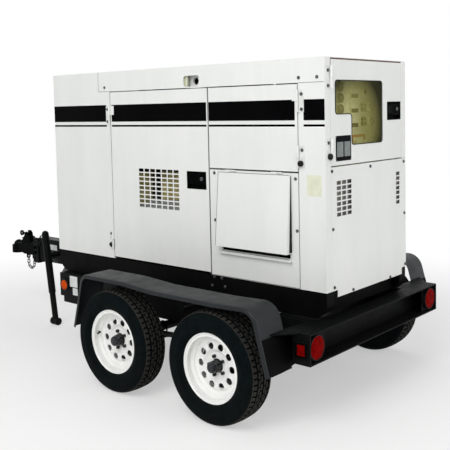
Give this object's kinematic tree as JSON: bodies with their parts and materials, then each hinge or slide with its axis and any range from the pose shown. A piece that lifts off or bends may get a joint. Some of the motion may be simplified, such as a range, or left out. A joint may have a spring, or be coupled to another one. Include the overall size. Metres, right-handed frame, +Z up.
{
  "type": "towable generator",
  "caption": "Towable diesel generator: sheet-metal canopy with hinged doors and a control window, on a tandem-axle trailer with fenders, tongue, coupler and swivel jack.",
  "frame": {"origin": "on the ground under the middle of the overall length and width", "axes": "+X forward to the hitch, +Y left, +Z up"},
  "size_m": [3.91, 1.944, 2.106],
  "materials": {
    "frame_paint": "semi-gloss black",
    "fender_paint": "semi-gloss charcoal",
    "skid_paint": "satin black",
    "cabinet_paint": "gloss off-white powder coat",
    "hinge_paint": "gloss off-white",
    "instrument_paint": "satin light grey",
    "coupler_paint": "worn black",
    "spring_steel": "matte black",
    "chain_steel": "dull",
    "lamp_plastic": "moulded",
    "red_lens": "clear red",
    "amber_lens": "clear amber",
    "tyre_rubber": "matte",
    "wheel_paint": "gloss white",
    "hub_iron": "black paint",
    "window_pane": "clear",
    "latch_plastic": "moulded",
    "board_plastic": "moulded",
    "engine_paint": "engine enamel",
    "alternator_paint": "enamel",
    "radiator_metal": "black paint",
    "fan_plastic": "moulded",
    "muffler_steel": "heat-tinted",
    "cleaner_plastic": "moulded",
    "battery_plastic": "moulded"
  },
  "bodies": {
    "trailer": {"left_rail": "frame_paint", "right_rail": "frame_paint", "crossmembers": "frame_paint", "tongue_beam": "frame_paint", "left_brace": "frame_paint", "right_brace": "frame_paint", "rear_bumper": "frame_paint", "left_fender": "fender_paint", "right_fender": "fender_paint", "axle_beams": "frame_paint", "leaf_springs": "spring_steel", "spring_hangers": "frame_paint", "coupler_head": "coupler_paint", "lamp_bodies": "lamp_plastic", "red_lenses": "red_lens", "amber_lenses": "amber_lens", "skid_base": "skid_paint", "front_panels": "cabinet_paint", "roof": "cabinet_paint", "cabinet_posts": "cabinet_paint", "rear_panel": "cabinet_paint", "terminal_panel": "cabinet_paint", "terminal_board": "board_plastic", "control_panel": "instrument_paint", "hinge_bases": "hinge_paint", "engine": "engine_paint", "alternator": "alternator_paint", "radiator": "radiator_metal", "muffler": "muffler_steel", "air_cleaner": "cleaner_plastic", "battery": "battery_plastic"},
    "front_left_wheel": {"front_left_tyre": "tyre_rubber", "front_left_rim": "wheel_paint", "front_left_hub": "hub_iron"},
    "rear_left_wheel": {"rear_left_tyre": "tyre_rubber", "rear_left_rim": "wheel_paint", "rear_left_hub": "hub_iron"},
    "front_right_wheel": {"front_right_tyre": "tyre_rubber", "front_right_rim": "wheel_paint", "front_right_hub": "hub_iron"},
    "rear_right_wheel": {"rear_right_tyre": "tyre_rubber", "rear_right_rim": "wheel_paint", "rear_right_hub": "hub_iron"},
    "left_front_door": {"left_front_door": "cabinet_paint"},
    "left_rear_door": {"left_rear_door": "cabinet_paint"},
    "right_front_door": {"right_front_door": "cabinet_paint"},
    "right_rear_door": {"right_rear_door": "cabinet_paint"},
    "control_door": {"control_door": "cabinet_paint", "control_window": "window_pane"},
    "terminal_cover": {"terminal_cover": "cabinet_paint"},
    "left_latch": {"left_latch": "latch_plastic"},
    "right_front_latch": {"right_front_latch": "latch_plastic"},
    "right_rear_latch": {"right_rear_latch": "latch_plastic"},
    "control_latch": {"control_latch": "latch_plastic"},
    "breaker_handle": {"breaker_handle": "latch_plastic"},
    "fan": {"fan": "fan_plastic"},
    "jack_tube": {"jack_tube": "frame_paint"},
    "jack_leg": {"jack_leg": "frame_paint"},
    "coupler_latch": {"coupler_latch": "coupler_paint"},
    "safety_chain": {"safety_chain": "chain_steel"}
  },
  "joints": [
    {"name": "front_left_wheel_spin", "type": "hinge", "parent": "trailer", "child": "front_left_wheel", "pos_m": [-0.5375, 0.874, 0.336], "axis": [0, 1, 0], "continuous": true},
    {"name": "rear_left_wheel_spin", "type": "hinge", "parent": "trailer", "child": "rear_left_wheel", "pos_m": [-1.3845, 0.874, 0.336], "axis": [0, 1, 0], "continuous": true},
    {"name": "front_right_wheel_spin", "type": "hinge", "parent": "trailer", "child": "front_right_wheel", "pos_m": [-0.5375, -0.874, 0.336], "axis": [0, 1, 0], "continuous": true},
    {"name": "rear_right_wheel_spin", "type": "hinge", "parent": "trailer", "child": "rear_right_wheel", "pos_m": [-1.3845, -0.874, 0.336], "axis": [0, 1, 0], "continuous": true},
    {"name": "left_front_door_hinge", "type": "hinge", "parent": "trailer", "child": "left_front_door", "pos_m": [-0.029, 0.483, 1.36], "axis": [0, 0, -1], "range_deg": [0, 120]},
    {"name": "left_rear_door_hinge", "type": "hinge", "parent": "trailer", "child": "left_rear_door", "pos_m": [-1.692, 0.483, 1.7], "axis": [0, 0, 1], "range_deg": [0, 120]},
    {"name": "right_front_door_hinge", "type": "hinge", "parent": "trailer", "child": "right_front_door", "pos_m": [-0.029, -0.483, 1.36], "axis": [0, 0, 1], "range_deg": [0, 120]},
    {"name": "right_rear_door_hinge", "type": "hinge", "parent": "trailer", "child": "right_rear_door", "pos_m": [-1.692, -0.483, 1.36], "axis": [0, 0, -1], "range_deg": [0, 120]},
    {"name": "control_door_hinge", "type": "hinge", "parent": "trailer", "child": "control_door", "pos_m": [-1.887, 0.417, 1.79], "axis": [0, 0, -1], "range_deg": [0, 120]},
    {"name": "terminal_cover_hinge", "type": "hinge", "parent": "trailer", "child": "terminal_cover", "pos_m": [-1.354, 0.482, 1.435], "axis": [1, 0, 0], "range_deg": [0, 95]},
    {"name": "left_latch_pull", "type": "hinge", "parent": "left_front_door", "child": "left_latch", "pos_m": [-0.87, 0.464, 1.402], "axis": [1, 0, 0], "range_deg": [0, 40], "stiffness_Nm_per_rad": 0.4},
    {"name": "right_front_latch_pull", "type": "hinge", "parent": "right_front_door", "child": "right_front_latch", "pos_m": [-0.87, -0.464, 1.402], "axis": [-1, 0, 0], "range_deg": [0, 40], "stiffness_Nm_per_rad": 0.4},
    {"name": "right_rear_latch_pull", "type": "hinge", "parent": "right_rear_door", "child": "right_rear_latch", "pos_m": [-1.098, -0.464, 1.402], "axis": [-1, 0, 0], "range_deg": [0, 40], "stiffness_Nm_per_rad": 0.4},
    {"name": "control_latch_pull", "type": "hinge", "parent": "control_door", "child": "control_latch", "pos_m": [-1.868, -0.319, 1.83], "axis": [0, 1, 0], "range_deg": [0, 40], "stiffness_Nm_per_rad": 0.4},
    {"name": "breaker_toggle", "type": "hinge", "parent": "trailer", "child": "breaker_handle", "pos_m": [-1.789, -0.09, 1.558], "axis": [0, 1, 0], "range_deg": [0, 50]},
    {"name": "fan_spin", "type": "hinge", "parent": "trailer", "child": "fan", "pos_m": [0.048, 0, 1.25], "axis": [1, 0, 0], "continuous": true},
    {"name": "jack_swing", "type": "hinge", "parent": "trailer", "child": "jack_tube", "pos_m": [1.168, 0.16, 0.59], "axis": [0, -1, 0], "range_deg": [0, 98]},
    {"name": "jack_slide", "type": "slide", "parent": "jack_tube", "child": "jack_leg", "axis": [0.1392, 0, 0.9903], "range_m": [0, 0.2]},
    {"name": "coupler_latch_lift", "type": "hinge", "parent": "trailer", "child": "coupler_latch", "pos_m": [1.73, 0, 0.704], "axis": [0, -1, 0], "range_deg": [0, 70]},
    {"name": "safety_chain_swing", "type": "hinge", "parent": "trailer", "child": "safety_chain", "pos_m": [1.7, 0, 0.492], "axis": [1, 0, 0], "range_deg": [-35, 35]}
  ]
}
